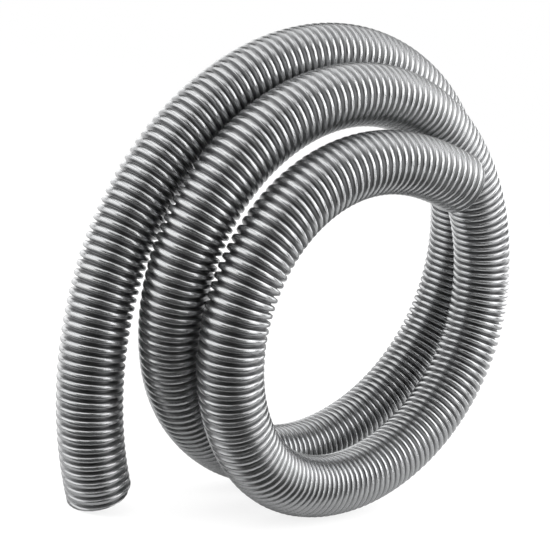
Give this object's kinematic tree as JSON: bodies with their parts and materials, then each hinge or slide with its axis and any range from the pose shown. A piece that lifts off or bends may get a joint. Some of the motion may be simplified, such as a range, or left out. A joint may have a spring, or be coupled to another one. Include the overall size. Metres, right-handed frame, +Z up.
{
  "type": "vacuum cleaner hose",
  "caption": "Corrugated plastic vacuum cleaner hose with both ends cut plain, coiled on edge in loose turns.",
  "frame": {"origin": "on the floor, under the middle of the coil's box", "axes": "+Z up from the floor, Y along the coil's axis with -Y towards the front turn and the top end, X across the coil with the floor end at -X"},
  "size_m": [0.3522, 0.122, 0.3062],
  "materials": {
    "hose_plastic": "silver-grey corrugated plastic with a satin sheen"
  },
  "bodies": {
    "root": {"hose": "hose_plastic"}
  },
  "joints": []
}
